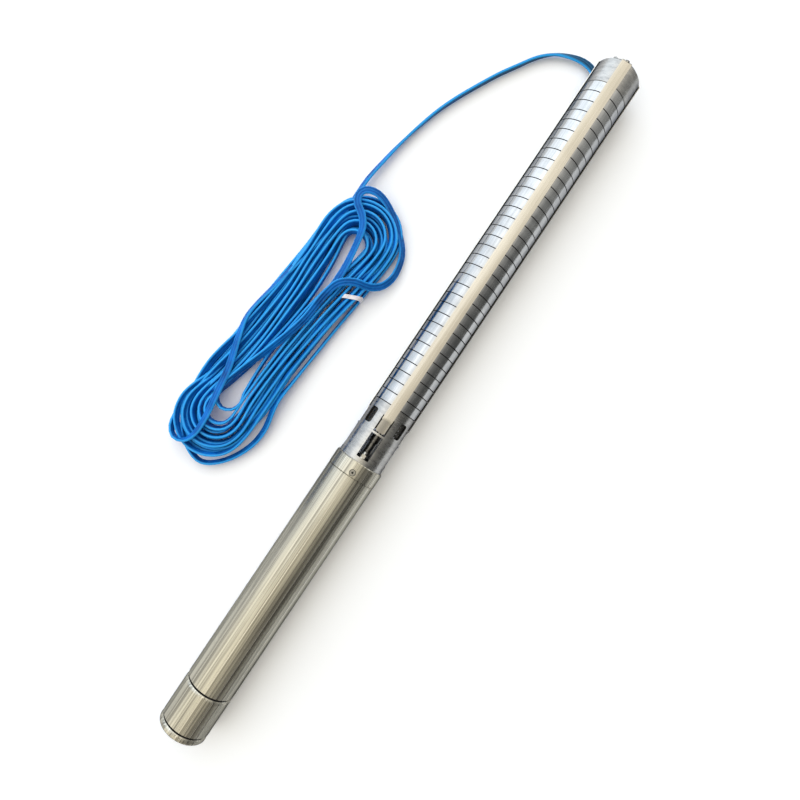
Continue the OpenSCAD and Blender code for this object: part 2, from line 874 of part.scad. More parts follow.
module valve_spring() {
    steps = 16 * spring_turns;
    wire_r = spring_wire / 2;
    bottom = z_cup + cup_h + wire_r + fit;
    rise = z_guide - wire_r - fit - bottom;
    color("silver") lay() swept([
        for (i = [0:steps])
            let (a = i * 360 * spring_turns / steps, z = bottom + rise * i / steps)
                [for (b = [0:60:300]) [
                    (spring_r + wire_r * cos(b)) * cos(a), (spring_r + wire_r * cos(b)) * sin(a),
                    z - wire_r * sin(b)
                ]]
    ]);
}

// Side outline of a strap: a narrower tab hooked under the slit bar, joggled out over the stack,
// folded on the head
module strap(angle) {
    tab_in = strap_slot_floor_r + strap_tab_gap;
    tab_out = tab_in + strap_t;
    hook_z = z_collar + slit_h - strap_t - strap_tab_gap;
    joggle_end = strap_slot_z + strap_slot_h - strap_t;
    joggle_z = joggle_end - strap_joggle_h;
    out = strap_in_r + strap_t;
    fold = strap_fold_l / sqrt(2);
    slope = strap_t * tan(22.5);
    color("antiquewhite") lay() rotate([0, 0, angle]) difference() {
        translate([0, strap_w / 2, 0]) rotate([90, 0, 0]) linear_extrude(strap_w) polygon([
            [tab_in - strap_hook, hook_z], [tab_out, hook_z], [tab_out, joggle_z], [out, joggle_end],
            [out, strap_fold_end + slope], [out - fold, strap_fold_end + slope + fold],
            [out - fold - strap_t / sqrt(2), strap_fold_end + slope + fold - strap_t / sqrt(2)],
            [strap_in_r, strap_fold_end], [strap_in_r, joggle_end + slope], [tab_in, joggle_z + slope],
            [tab_in, hook_z + strap_t], [tab_in - strap_hook, hook_z + strap_t]
        ]);
        for (y = [-strap_w / 2 - eps, strap_w / 2 - strap_tab_inset])
            translate([0, y, hook_z - eps])
                cube([cage_r, strap_tab_inset + eps, joggle_z - hook_z + eps]);
        strap_bolt_place() drill(-strap_t, 2 * strap_t + strap_bolt_h, strap_bolt_r + fit);
    }
}

// The frame of a strap's bolt: on the head's chamfer, square to it
module strap_bolt_place() {
    half = head_chamfer / 2;
    translate([stage_r - half, 0, z_end - half]) rotate([0, 45, 0]) children();
}

module strap_top() strap(0);

module strap_right() strap(90);

module strap_bottom() strap(180);

module strap_left() strap(270);

module strap_bolts() {
    seat = strap_t + 2 * fit;
    color("gainsboro") lay() quarters() strap_bolt_place() difference() {
        union() {
            drill(-strap_bolt_l, seat, strap_bolt_r);
            drill(seat - eps, seat + strap_bolt_h, strap_bolt_head_r);
        }
        hex(seat + strap_bolt_h / 3, strap_bolt_h, strap_bolt_af);
    }
}

// Places at the feet of the guard's two flanges
module guard_screw_places(z) {
    side = cable_w / 2 + guard_side_gap + guard_t + guard_flange / 2;
    for (s = [-1, 1]) rotate([0, 0, lead_angle + s * asin(side / stage_r)])
        translate([0, 0, z]) rotate([0, 90, 0]) children();
}

module guard_screw_holes(z) {
    guard_screw_places(z) drill(stage_r - guard_screw_l - fit, stage_r + guard_t + 1, guard_screw_r + fit);
}

module cable_guard() {
    in_half = cable_w / 2 + guard_side_gap;
    out_half = in_half + guard_t;
    foot_r = stage_r + guard_seat;
    roof = stage_r + 2 * guard_gap + cable_t;
    color("lightgray") lay() difference() {
        rotate([0, 0, lead_angle]) translate([0, 0, guard_z])
            linear_extrude(guard_end - guard_z) difference() {
            union() {
                translate([collar_bore_r, -out_half])
                    square([roof + guard_t - collar_bore_r, 2 * out_half]);
                intersection() {
                    circle(foot_r + guard_t);
                    translate([0, -out_half - guard_flange])
                        square([cage_d, 2 * (out_half + guard_flange)]);
                }
            }
            circle(foot_r);
            translate([0, -in_half]) square([roof, 2 * in_half]);
        }
        guard_screw_holes(z_stack - guard_screw_inset);
        guard_screw_holes(guard_end - guard_screw_inset);
    }
}

module guard_screws() {
    seat = stage_r + guard_seat + guard_t + fit;
    color("silver") lay() for (z = [z_stack - guard_screw_inset, guard_end - guard_screw_inset])
        guard_screw_places(z) {
            drill(stage_r - guard_screw_l, seat, guard_screw_r);
            drill(seat, seat + guard_screw_head_h, guard_screw_head_r);
        }
}

module rope_lugs() {
    arch_r = lug_w / 2;
    color("silver") lay() for (a = [lug_angle - 180, lug_angle]) rotate([0, 0, a])
        translate([0, 0, z_end]) difference() {
            cut_through(lug_circle_r - lug_t / 2, lug_circle_r + lug_t / 2) {
                translate([-arch_r, 0]) square([lug_w, lug_rise - arch_r]);
                translate([0, lug_rise - arch_r]) intersection() {
                    circle(arch_r);
                    translate([-arch_r, -fit]) square([lug_w, lug_w]);
                }
            }
            translate([0, 0, lug_rise - arch_r]) rotate([0, 90, 0])
                drill(lug_circle_r - lug_t, lug_circle_r + lug_t, lug_hole_r);
        }
}

function unit(v) = v / norm(v);

function spot(p) = [p[0], p[1], p[2]];

function heading(route, i) =
    unit(spot(route[min(i + 1, len(route) - 1)]) - spot(route[max(i - 1, 0)]));

// Eight points round a flat cable at one stop of its route
function cable_ring(route, i) =
    let (
        ahead = i == 0 ? [1, 0, 0] : heading(route, i),
        left = unit(cross([0, 0, 1], ahead)),
        across = cos(route[i][3]) * cross(ahead, left) + sin(route[i][3]) * left,
        thick = cross(ahead, across),
        w = cable_w / 2,
        t = cable_t / 2,
        c = cable_corner
    )
    [
        for (q = [
            [w, t - c], [w - c, t], [c - w, t], [-w, t - c],
            [-w, c - t], [c - w, -t], [w - c, -t], [w, c - t]
        ]) spot(route[i]) + q[0] * across + q[1] * thick
    ];

module cable_lead() {
    color("royalblue") swept([for (i = [0:len(lead_route) - 1]) cable_ring(lead_route, i)]);
}

// Outline with round ends
module stadium(l, w) {
    square([l - w, w], center = true);
    for (s = [-1, 1]) translate([s * (l - w) / 2, 0]) circle(w / 2);
}

module hank_place() {
    translate([hank_centre[0], hank_centre[1], 0]) rotate([0, 0, hank_angle]) children();
}

module cable_hank() {
    color("royalblue") hank_place() translate([0, 0, hank_lift]) linear_extrude(hank_h) difference() {
        stadium(hank_l, hank_w);
        stadium(hank_l - hank_w + hank_slot_w, hank_slot_w);
    }
}

module cable_tie() {
    run_w = (hank_w - hank_slot_w) / 2;
    inner = [run_w + 2 * tie_gap, hank_h + 2 * tie_gap];
    color("white") hank_place() translate([tie_along, -(hank_slot_w + run_w) / 2, hank_lift + hank_h / 2])
        rotate([90, 0, 90]) linear_extrude(tie_w, center = true) difference() {
            square([inner[0] + 2 * tie_t, inner[1] + 2 * tie_t], center = true);
            square(inner, center = true);
        }
}

motor_bottom_cap();
diaphragm();
lower_bearing_housing();
thrust_pad_carrier();
thrust_pads();
lower_bracket();
lower_radial_bearing();
motor_sleeve();
stator_core();
stator_windings();
stator_liner();
upper_end_bell();
upper_radial_bearing();
shaft_seal();
filling_plug();
flange_studs();
flange_washers();
flange_nuts();
motor_plug();
guarded_lead();
suction_interconnector();
stage_chambers();
neck_rings();
stage_bearings();
valve_casing();
valve_seat();
valve_seat_seal();
valve_guide();
valve_spring();
strap_top();
strap_right();
strap_bottom();
strap_left();
strap_bolts();
cable_guard();
guard_screws();
rope_lugs();
motor_shaft();
rotor_core();
rotor_cage();
thrust_disc();
sand_slinger();
shaft_coupling();
pump_shaft();
impellers();
split_cones();
cone_nuts();
valve_cup();
cable_lead();
cable_hank();
cable_tie();
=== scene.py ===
import json
import math

import bpy
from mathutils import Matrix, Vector


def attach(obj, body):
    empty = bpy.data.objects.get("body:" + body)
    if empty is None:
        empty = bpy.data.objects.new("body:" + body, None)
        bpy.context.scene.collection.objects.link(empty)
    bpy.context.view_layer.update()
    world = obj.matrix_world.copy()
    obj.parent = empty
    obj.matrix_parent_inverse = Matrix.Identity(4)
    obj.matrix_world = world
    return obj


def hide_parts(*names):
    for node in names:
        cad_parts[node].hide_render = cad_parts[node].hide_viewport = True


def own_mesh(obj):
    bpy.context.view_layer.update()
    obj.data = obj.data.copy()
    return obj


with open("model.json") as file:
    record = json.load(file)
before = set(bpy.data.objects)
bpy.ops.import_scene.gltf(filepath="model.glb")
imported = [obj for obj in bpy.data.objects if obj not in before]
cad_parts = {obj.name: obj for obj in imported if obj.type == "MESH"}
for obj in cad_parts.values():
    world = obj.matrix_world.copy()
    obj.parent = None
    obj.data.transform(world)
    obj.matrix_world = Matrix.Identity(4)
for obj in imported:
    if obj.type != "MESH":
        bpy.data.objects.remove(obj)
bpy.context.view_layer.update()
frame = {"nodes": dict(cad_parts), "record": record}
nodes = frame["nodes"]
AXIS_Z = 0.0485
SCENE = bpy.context.scene

# Camera: straight down, as the photograph was taken, turned about the view axis

CAMERA_AT = (-0.0595, 0.0, 1.110)
CAMERA_TURN = -56.2

cam_data = bpy.data.cameras.new("camera")
cam_data.sensor_width = 36
cam_data.lens = 25.65
cam_data.shift_x = 0.020
cam_data.shift_y = 0.032
camera = bpy.data.objects.new("camera", cam_data)
camera.location = CAMERA_AT
camera.rotation_euler = (0, 0, math.radians(CAMERA_TURN))
SCENE.collection.objects.link(camera)
SCENE.camera = camera
SCENE.view_settings.view_transform = "Standard"


# Shader helpers

# Height in metres of a full swing of a surface's fine relief, and the range that most of a noise keeps to
BUMP_DEPTH = 0.0004
NOISE_RANGE = (0.3, 0.7)


def set_stops(ramp, stops):
    """Gives a colour ramp its places and colours."""
    bands = ramp.color_ramp.elements
    while len(bands) < len(stops):
        bands.new(0.5)
    for band, (place, colour) in zip(bands, stops):
        band.position = place
        band.color = (*colour, 1)


class Paint:
    """A material with a principled shader and a few short ways to add nodes to it."""

    def __init__(self, name):
        self.mat = bpy.data.materials.new(name)
        self.mat.use_nodes = True
        self.tree = self.mat.node_tree
        self.shader = self.tree.nodes["Principled BSDF"]

    def node(self, kind, **values):
        made = self.tree.nodes.new(kind)
        for key, value in values.items():
            setattr(made, key, value)
        return made

    def link(self, a, b):
        self.tree.links.new(a, b)

    def spot(self, scale):
        """Object coordinates, which are metres in the shared frame, scaled on each axis."""
        coords = self.node("ShaderNodeTexCoord")
        mapping = self.node("ShaderNodeMapping")
        mapping.inputs["Scale"].default_value = scale
        self.link(coords.outputs["Object"], mapping.inputs["Vector"])
        return mapping.outputs["Vector"]

    def noise(self, scale, detail=3.0, rough=0.55):
        tex = self.node("ShaderNodeTexNoise")
        tex.inputs["Scale"].default_value = 1.0
        tex.inputs["Detail"].default_value = detail
        tex.inputs["Roughness"].default_value = rough
        self.link(self.spot(scale), tex.inputs["Vector"])
        return tex.outputs["Fac"]

    def math(self, operation, a, b=0.0, c=0.0):
        made = self.node("ShaderNodeMath", operation=operation)
        for socket, value in zip(made.inputs, (a, b, c)):
            if isinstance(value, (int, float)):
                socket.default_value = value
            else:
                self.link(value, socket)
        return made.outputs[0]

    def axis(self, index):
        """One object coordinate in metres."""
        coords = self.node("ShaderNodeTexCoord")
        split = self.node("ShaderNodeSeparateXYZ")
        self.link(coords.outputs["Object"], split.inputs[0])
        return split.outputs[index]

    def from_axis(self):
        """Distance from the pump's axis in metres."""
        side = self.math("POWER", self.math("ABSOLUTE", self.axis(1)), 2.0)
        height = self.math("SUBTRACT", self.axis(2), AXIS_Z)
        rise = self.math("POWER", self.math("ABSOLUTE", height), 2.0)
        return self.math("SQRT", self.math("ADD", side, rise))

    def ramp(self, fac, stops):
        made = self.node("ShaderNodeValToRGB")
        set_stops(made, stops)
        self.link(fac, made.inputs["Fac"])
        return made.outputs["Color"]

    def between(self, value, low, high):
        """How far a value has come from low to high, from 0 to 1."""
        made = self.node("ShaderNodeMapRange")
        made.inputs["From Min"].default_value = low
        made.inputs["From Max"].default_value = high
        self.link(value, made.inputs["Value"])
        return made.outputs["Result"]

    def mix(self, fac, *colours):
        """The first colour turning into the second; a tuple is a fixed colour."""
        made = self.node("ShaderNodeMix", data_type="RGBA")
        self.link(fac, made.inputs[0])
        for socket, colour in zip((made.inputs[6], made.inputs[7]), colours):
            if isinstance(colour, tuple):
                socket.default_value = (*colour, 1)
            else:
                self.link(colour, socket)
        return made.outputs[2]

    def spread(self, fac, low, high):
        """The range of a noise spread out from low to high."""
        made = self.node("ShaderNodeMapRange")
        made.inputs["From Min"].default_value = NOISE_RANGE[0]
        made.inputs["From Max"].default_value = NOISE_RANGE[1]
        made.inputs["To Min"].default_value = low
        made.inputs["To Max"].default_value = high
        self.link(fac, made.inputs["Value"])
        return made.outputs["Result"]

    def bump(self, fac, strength, distance=BUMP_DEPTH):
        made = self.node("ShaderNodeBump")
        made.inputs["Strength"].default_value = strength
        made.inputs["Distance"].default_value = distance
        self.link(fac, made.inputs["Height"])
        self.link(made.outputs["Normal"], self.shader.inputs["Normal"])

    def set(self, **values):
        for key, value in values.items():
            self.shader.inputs[key.replace("_", " ")].default_value = value


# How much of the light that grazes bare metal it sends back
EDGE_TINT = (0.12, 0.13, 0.16)
# The share of the brush lines in a metal's mottling; the clouding has the rest
LINE_SHARE = 0.6
# Painted shade: a near-black, rougher colour that metal takes on in its recesses, bores and grooves
PAINTED_SHADE_COLOUR = (0.03, 0.03, 0.032)
PAINTED_SHADE_ROUGH = 0.6
# Painted highlights: bright streaks along the pump; the scale of their noise, and the values between which one
# begins and is full
HIGHLIGHT_STREAK_GRAIN = (0.6, 380, 380)
HIGHLIGHT_STREAK_RISE = (0.63, 0.68)
# Barrelled rings: the parts of the swing and of the clouding in their height, and how strongly it shades
BARREL_SWING = 0.5
BARREL_CLOUDS = 0.8
BARREL_STRENGTH = 0.35
BARREL_DEPTH = 0.0003


def metal(name, dark, light, rough, grain, relief=0.0, worn=(14, 14, 14), sharp=0.16, painted_shade=None, shade_from=None,
          shade_to=None, rings=None, painted_highlights=None, bow=0.0, brushed=0.0):
    """Bare metal: a grain stretched along the brush lines over broad, faint clouding.

    painted_shade gives two distances from the pump's axis: inside the first the colour is painted shade, near black
    and rougher, and outside the second the metal keeps its own; there is none before the place shade_from along the
    pump nor past the place shade_to. rings gives the start and the pitch of a row of slightly barrelled rings along
    the pump. painted_highlights gives the colour of single painted highlight streaks along it. bow is the share by
    which a flat strip shades as if bowed round the pump. brushed is how far brush lines along the pump draw the
    reflections out round it.
    """
    p = Paint(name)
    p.set(Metallic=1.0, Specular_Tint=(*EDGE_TINT, 1))
    if brushed:
        p.set(Anisotropic=brushed)
        round_axis = p.node("ShaderNodeTangent", direction_type="RADIAL", axis="X")
        p.link(round_axis.outputs["Tangent"], p.shader.inputs["Tangent"])
    lines = p.noise(grain, detail=4.0, rough=0.6)
    clouds = p.noise(worn)
    blend = p.math("ADD", p.math("MULTIPLY", lines, LINE_SHARE), p.math("MULTIPLY", clouds, 1 - LINE_SHARE))
    colour = p.ramp(blend, [(0.5 - sharp, dark), (0.5 + sharp, light)])
    gloss = p.spread(blend, *rough)
    # Single bright streaks along the pump are painted highlights
    if painted_highlights:
        highlight_streak = p.between(p.noise(HIGHLIGHT_STREAK_GRAIN, detail=2.0), *HIGHLIGHT_STREAK_RISE)
        colour = p.mix(highlight_streak, colour, painted_highlights)
    # Painted shade: near black inside a distance from the pump's axis, where the recesses, bores and grooves lie
    if painted_shade:
        unshaded = p.between(p.from_axis(), *painted_shade)
        if shade_from is not None:
            unshaded = p.math("MAXIMUM", unshaded, p.math("LESS_THAN", p.axis(0), shade_from))
        if shade_to is not None:
            unshaded = p.math("MAXIMUM", unshaded, p.math("GREATER_THAN", p.axis(0), shade_to))
        colour = p.mix(unshaded, PAINTED_SHADE_COLOUR, colour)
        gloss = p.math("MAXIMUM", gloss, p.math("MULTIPLY_ADD", unshaded, -PAINTED_SHADE_ROUGH, PAINTED_SHADE_ROUGH))
    p.link(colour, p.shader.inputs["Base Color"])
    p.link(gloss, p.shader.inputs["Roughness"])
    if rings:
        along = p.math("SUBTRACT", p.axis(0), rings[0])
        swing = p.math("SINE", p.math("MULTIPLY", along, 2 * math.pi / rings[1]))
        height = p.math("ADD", p.math("MULTIPLY", swing, BARREL_SWING), p.math("MULTIPLY", clouds, BARREL_CLOUDS))
        p.bump(height, BARREL_STRENGTH, BARREL_DEPTH)
    elif bow:
        p.bump(p.math("MULTIPLY", p.from_axis(), -bow), strength=1.0, distance=1.0)
    elif relief:
        p.bump(lines, relief)
    return p


def plastic(name, dark, light, rough, size=(60, 60, 60), relief=0.0, gleam=0.5, painted_shade_along=None, painted_edge_highlight=None):
    """Moulded or extruded plastic or rubber with faint mottling.

    gleam is the level of its specular shine. painted_shade_along gives a colour of painted shade and the two places
    along the pump between which the piece darkens into it. painted_edge_highlight is the paler colour, a painted
    highlight, that shows as far as the mesh's edge_highlight attribute says.
    """
    p = Paint(name)
    p.set(Specular_IOR_Level=gleam)
    fac = p.noise(size)
    colour = p.ramp(fac, list(zip(NOISE_RANGE, (dark, light))))
    # Painted shade: the piece darkens along the pump
    if painted_shade_along:
        colour = p.mix(p.between(p.axis(0), *painted_shade_along[1:]), colour, painted_shade_along[0])
    # Paler colour on the mesh's edges: a painted highlight
    if painted_edge_highlight:
        edge_highlight = p.node("ShaderNodeAttribute", attribute_name="edge_highlight")
        colour = p.mix(edge_highlight.outputs["Fac"], colour, painted_edge_highlight)
    p.link(colour, p.shader.inputs["Base Color"])
    p.link(p.spread(fac, *rough), p.shader.inputs["Roughness"])
    if relief:
        p.bump(fac, relief)
    return p


# The motor's bright streaks are painted highlights
MOTOR_LOOK = dict(
    dark=(0.22, 0.212, 0.185), light=(0.60, 0.58, 0.50), rough=(0.20, 0.34), grain=(1.0, 330, 330), relief=0.16,
    worn=(3, 60, 60), sharp=0.10, painted_highlights=(0.86, 0.84, 0.76), brushed=0.8,
)
# Painted shade in the motor's seams, inside these distances from the axis
SEAM_SHADE = (0.0454, 0.0460)
CAST_LOOK = dict(
    dark=(0.32, 0.32, 0.32), light=(0.52, 0.52, 0.51), rough=(0.20, 0.34), grain=(160, 60, 60), relief=0.06
)
# Places along the pump in metres: the seam of the bottom cap, the step of the end bell, and one past the painted
# shade of the suction section
CAP_SEAM = -0.7226
BELL_STEP = -0.1415
SHADE_END = 0.3
# The painted_shade distances below put painted shade into each piece's recesses, bores and grooves
PAINTS = {
    "brushed_motor_steel": metal("brushed_motor_steel", painted_shade=SEAM_SHADE, **MOTOR_LOOK),
    "cast_stainless": metal("cast_stainless", painted_shade=(0.0412, 0.0420), shade_to=SHADE_END, **CAST_LOOK),
    "polished_stainless": metal(
        "polished_stainless", (0.42, 0.43, 0.44), (0.56, 0.57, 0.58), (0.12, 0.24), (30, 160, 160)
    ),
    "strap_steel": metal(
        "strap_steel", (0.51, 0.495, 0.462), (0.63, 0.615, 0.575), (0.18, 0.30), (3, 300, 300),
        painted_shade=(0.0418, 0.0452), shade_to=SHADE_END, bow=0.4,
    ),
    "fastener_steel": metal(
        "fastener_steel", (0.38, 0.38, 0.37), (0.58, 0.58, 0.56), (0.20, 0.34), (300, 300, 300)
    ),
    "shaft_steel": metal("shaft_steel", (0.44, 0.44, 0.43), (0.60, 0.60, 0.59), (0.14, 0.26), (400, 40, 40)),
    "motor_iron": metal("motor_iron", (0.14, 0.145, 0.155), (0.24, 0.25, 0.27), (0.42, 0.6), (900, 30, 30)),
    "copper": metal("copper", (0.42, 0.18, 0.07), (0.68, 0.36, 0.17), (0.28, 0.42), (60, 260, 260)),
    "bearing_carbon": plastic("bearing_carbon", (0.05, 0.05, 0.055), (0.11, 0.11, 0.12), (0.35, 0.5)),
    "black_rubber": plastic(
        "black_rubber", (0.012, 0.012, 0.013), (0.03, 0.03, 0.032), (0.5, 0.68), (120, 120, 120), 0.1
    ),
    # The blue cable darkens towards the pump's head: painted shade
    "blue_cable": plastic(
        "blue_cable", (0.0, 0.12, 0.50), (0.004, 0.31, 0.88), (0.22, 0.34), (25, 25, 25), gleam=0.4,
        painted_shade_along=((0.0, 0.035, 0.085), 0.36, 0.60),
    ),
    "white_tie": plastic("white_tie", (0.62, 0.60, 0.72), (0.84, 0.83, 0.90), (0.35, 0.5), (200, 200, 200)),
}
RING_START = -0.0225
RING_PITCH = 0.021
# The painted_shade distances below put painted shade into each piece's recesses, bores and grooves
OWN_PAINTS = {
    "stage_chambers": metal(
        "ringed_stainless", (0.38, 0.39, 0.40), (0.56, 0.57, 0.58), (0.10, 0.22), (12, 190, 190),
        worn=(40, 12, 12), painted_shade=(0.0431, 0.0437), rings=(RING_START, RING_PITCH),
    ),
    "motor_bottom_cap": metal("cap_steel", painted_shade=SEAM_SHADE, shade_from=CAP_SEAM, **MOTOR_LOOK),
    "upper_end_bell": metal("bell_steel", painted_shade=(0.0466, 0.0474), shade_to=BELL_STEP, **MOTOR_LOOK),
    "valve_casing": metal("head_steel", **CAST_LOOK),
    "filling_plug": metal(
        "plug_steel", (0.26, 0.26, 0.25), (0.42, 0.42, 0.40), (0.24, 0.36), (300, 300, 300),
        painted_shade=(0.0462, 0.0470),
    ),
    "rope_lugs": metal("lug_steel", (0.38, 0.38, 0.37), (0.56, 0.56, 0.55), (0.24, 0.36), (160, 60, 60)),
    # The coupling's near-black colour is painted shade inside the suction section
    "shaft_coupling": metal(
        "coupling_painted_shade", (0.10, 0.10, 0.10), (0.26, 0.26, 0.25), (0.22, 0.36), (200, 60, 60)
    ),
}
for entry in frame["record"]["subparts"]:
    mesh = nodes[entry["node"]].data
    mesh.materials.clear()
    mesh.materials.append(OWN_PAINTS.get(entry["node"], PAINTS[entry["material_slot"]]).mat)


# Pieces that the scene adds to the pump


def mesh_object(name, verts, faces, slot, paint=None):
    """A smooth piece on the pump's body, in its slot's paint unless it has its own."""
    mesh = bpy.data.meshes.new(name)
    mesh.from_pydata(verts, [], faces)
    mesh.update()
    for poly in mesh.polygons:
        poly.use_smooth = True
    mesh.materials.append((paint or PAINTS[slot]).mat)
    obj = bpy.data.objects.new(name, mesh)
    SCENE.collection.objects.link(obj)
    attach(obj, "pump")
    return obj


def grid_faces(rings, count):
    """Faces between rings of points, each ring closed."""
    return [
        (i * count + j, i * count + (j + 1) % count, (i + 1) * count + (j + 1) % count, (i + 1) * count + j)
        for i in range(rings - 1)
        for j in range(count)
    ]


def end_caps(total, count):
    """The first and the last ring of points as faces."""
    return [tuple(range(count))[::-1], tuple(range(total - count, total))]


def round_pump(x, r, degrees):
    """A place at a distance from the pump's axis, with the angle counted from the top to the right."""
    a = math.radians(degrees)
    return (x, -r * math.sin(a), AXIS_Z + r * math.cos(a))


# Strainer: a perforated sheet behind the ports of the suction section, open where the lead passes
STRAINER_X = (-0.072, -0.0345)
STRAINER_R = 0.0397
STRAINER_T = 0.0005
STRAINER_ROWS = 15
STRAINER_CELLS = 84
STRAINER_START = 245
STRAINER_SPAN = 320


def pierced(i, j):
    """Whether a cell of the sheet is a hole: every third cell of every third row."""
    return i % 3 == 1 and j % 3 == 2


strainer_verts = [
    round_pump(
        STRAINER_X[0] + (STRAINER_X[1] - STRAINER_X[0]) * i / STRAINER_ROWS, STRAINER_R,
        STRAINER_START + STRAINER_SPAN * j / STRAINER_CELLS,
    )
    for i in range(STRAINER_ROWS + 1)
    for j in range(STRAINER_CELLS + 1)
]
strainer_row = STRAINER_CELLS + 1
strainer_faces = [
    (i * strainer_row + j, (i + 1) * strainer_row + j, (i + 1) * strainer_row + j + 1, i * strainer_row + j + 1)
    for i in range(STRAINER_ROWS)
    for j in range(STRAINER_CELLS)
    if not pierced(i, j)
]
# The sheet's near-black colour is painted shade inside the ports
strainer_shade_paint = metal("strainer_painted_shade", (0.03, 0.03, 0.029), (0.10, 0.098, 0.092), (0.4, 0.55), (200, 200, 200))
strainer = mesh_object("inlet_strainer", strainer_verts, strainer_faces, "cast_stainless", strainer_shade_paint)
sheet = strainer.modifiers.new("sheet", "SOLIDIFY")
sheet.thickness = STRAINER_T
sheet.offset = -1

# Pipe thread in the discharge mouth: one ridge wound on the bore
THREAD_X = (0.7040, 0.7250)
THREAD_PITCH = 0.00231
THREAD_R = (0.0226, 0.0216)
THREAD_STEPS = 40
# Half the width of the ridge as a share of the pitch
THREAD_FLANK = 0.42

thread_rings = round((THREAD_X[1] - THREAD_X[0]) / THREAD_PITCH * THREAD_STEPS)
thread_verts = []
for i in range(thread_rings + 1):
    x = THREAD_X[0] + THREAD_PITCH * i / THREAD_STEPS
    for shift, r in ((-THREAD_FLANK, THREAD_R[0]), (0, THREAD_R[1]), (THREAD_FLANK, THREAD_R[0])):
        thread_verts.append(round_pump(x + shift * THREAD_PITCH, r, 360 * i / THREAD_STEPS))
thread_faces = grid_faces(thread_rings + 1, 3)
thread_faces += end_caps(len(thread_verts), 3)
mesh_object("pipe_thread", thread_verts, thread_faces, "polished_stainless")

# Valve spring between the cup and the guide
SPRING_X = (0.6807, 0.6979)
SPRING_R = 0.0105
SPRING_WIRE_R = 0.0005
SPRING_TURNS = 5
SPRING_STEPS = 24
SPRING_SIDES = 8

spring_rings = SPRING_TURNS * SPRING_STEPS
spring_verts = []
for i in range(spring_rings + 1):
    x = SPRING_X[0] + (SPRING_X[1] - SPRING_X[0]) * i / spring_rings
    for j in range(SPRING_SIDES):
        b = 2 * math.pi * j / SPRING_SIDES
        reach = SPRING_R + SPRING_WIRE_R * math.cos(b)
        spring_verts.append(round_pump(x - SPRING_WIRE_R * math.sin(b), reach, 360 * i / SPRING_STEPS))
spring_faces = grid_faces(spring_rings + 1, SPRING_SIDES)
spring_faces += end_caps(len(spring_verts), SPRING_SIDES)
spring = mesh_object("pressed_spring", spring_verts, spring_faces, "fastener_steel")
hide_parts("valve_spring")
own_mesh(spring)


# Cable: one flat run from the pump's head through the turns of the hank to its bare end

ROUTE_STEP = 0.009

# Free stretch in metres: x, y, z and the lean of the cable's width from upright in degrees
LEAD = [
    (0.682, 0.0332, 0.0153, 45), (0.704, 0.033, 0.014, 58), (0.722, 0.0365, 0.012, 72),
    (0.733, 0.046, 0.0105, 80), (0.738, 0.062, 0.0095, 78), (0.737, 0.080, 0.0095, 68),
    (0.730, 0.103, 0.0095, 50), (0.719, 0.125, 0.009, 32), (0.695, 0.150, 0.0085, 15),
    (0.663, 0.171, 0.0085, 8), (0.626, 0.194, 0.0085, 5), (0.586, 0.215, 0.0085, 5),
    (0.545, 0.235, 0.0085, 5), (0.503, 0.252, 0.0085, 8), (0.452, 0.267, 0.0085, 14),
    (0.403, 0.278, 0.0095, 24), (0.358, 0.285, 0.012, 32), (0.314, 0.290, 0.015, 36),
]
HANK_CENTRE = (-0.004, 0.258)
HANK_ANGLE = math.radians(-5.3)
TURNS = 15
# The turns, in the hank's own millimetres: the heights that they take one after the other, then each size of the
# innermost turn with what it gains up to the outermost, and how far turns stray at their ends and along their sides
LAYERS = (9, 25, 17)
TURN_HALF_WIDTH = (23, 50)
TURN_LEFT_END = (232, 66)
TURN_RIGHT_END = (226, 68)
TURN_WAIST = (17, -11)
END_STRAY = 7
SIDE_STRAY = 5.5
# The cable's lean from upright in degrees, and how far it swings from turn to turn
TURN_LEAN = (16, 15)
# The long runs of a turn: place along, share of the waist and phase of the stray
UPPER_RUN = ((-150, 0.4, 0), (-60, 1.0, 0.7), (50, 1.0, 1.9), (140, 0.5, 2.9))
LOWER_RUN = ((140, 0.6, 4.0), (50, 1.0, 4.8), (-60, 0.8, 5.9), (-150, 0.2, 7.0))
# Its ends: back from the tip and across, both as shares of the half width, and share of the lean
END_BEND = (
    (1.1, 1.0, 1), (0.52, 0.87, 0.9), (0.14, 0.5, 0.7), (0, 0, 0.6),
    (0.14, -0.5, 0.7), (0.52, -0.87, 0.9), (1.1, -1.0, 1),
)

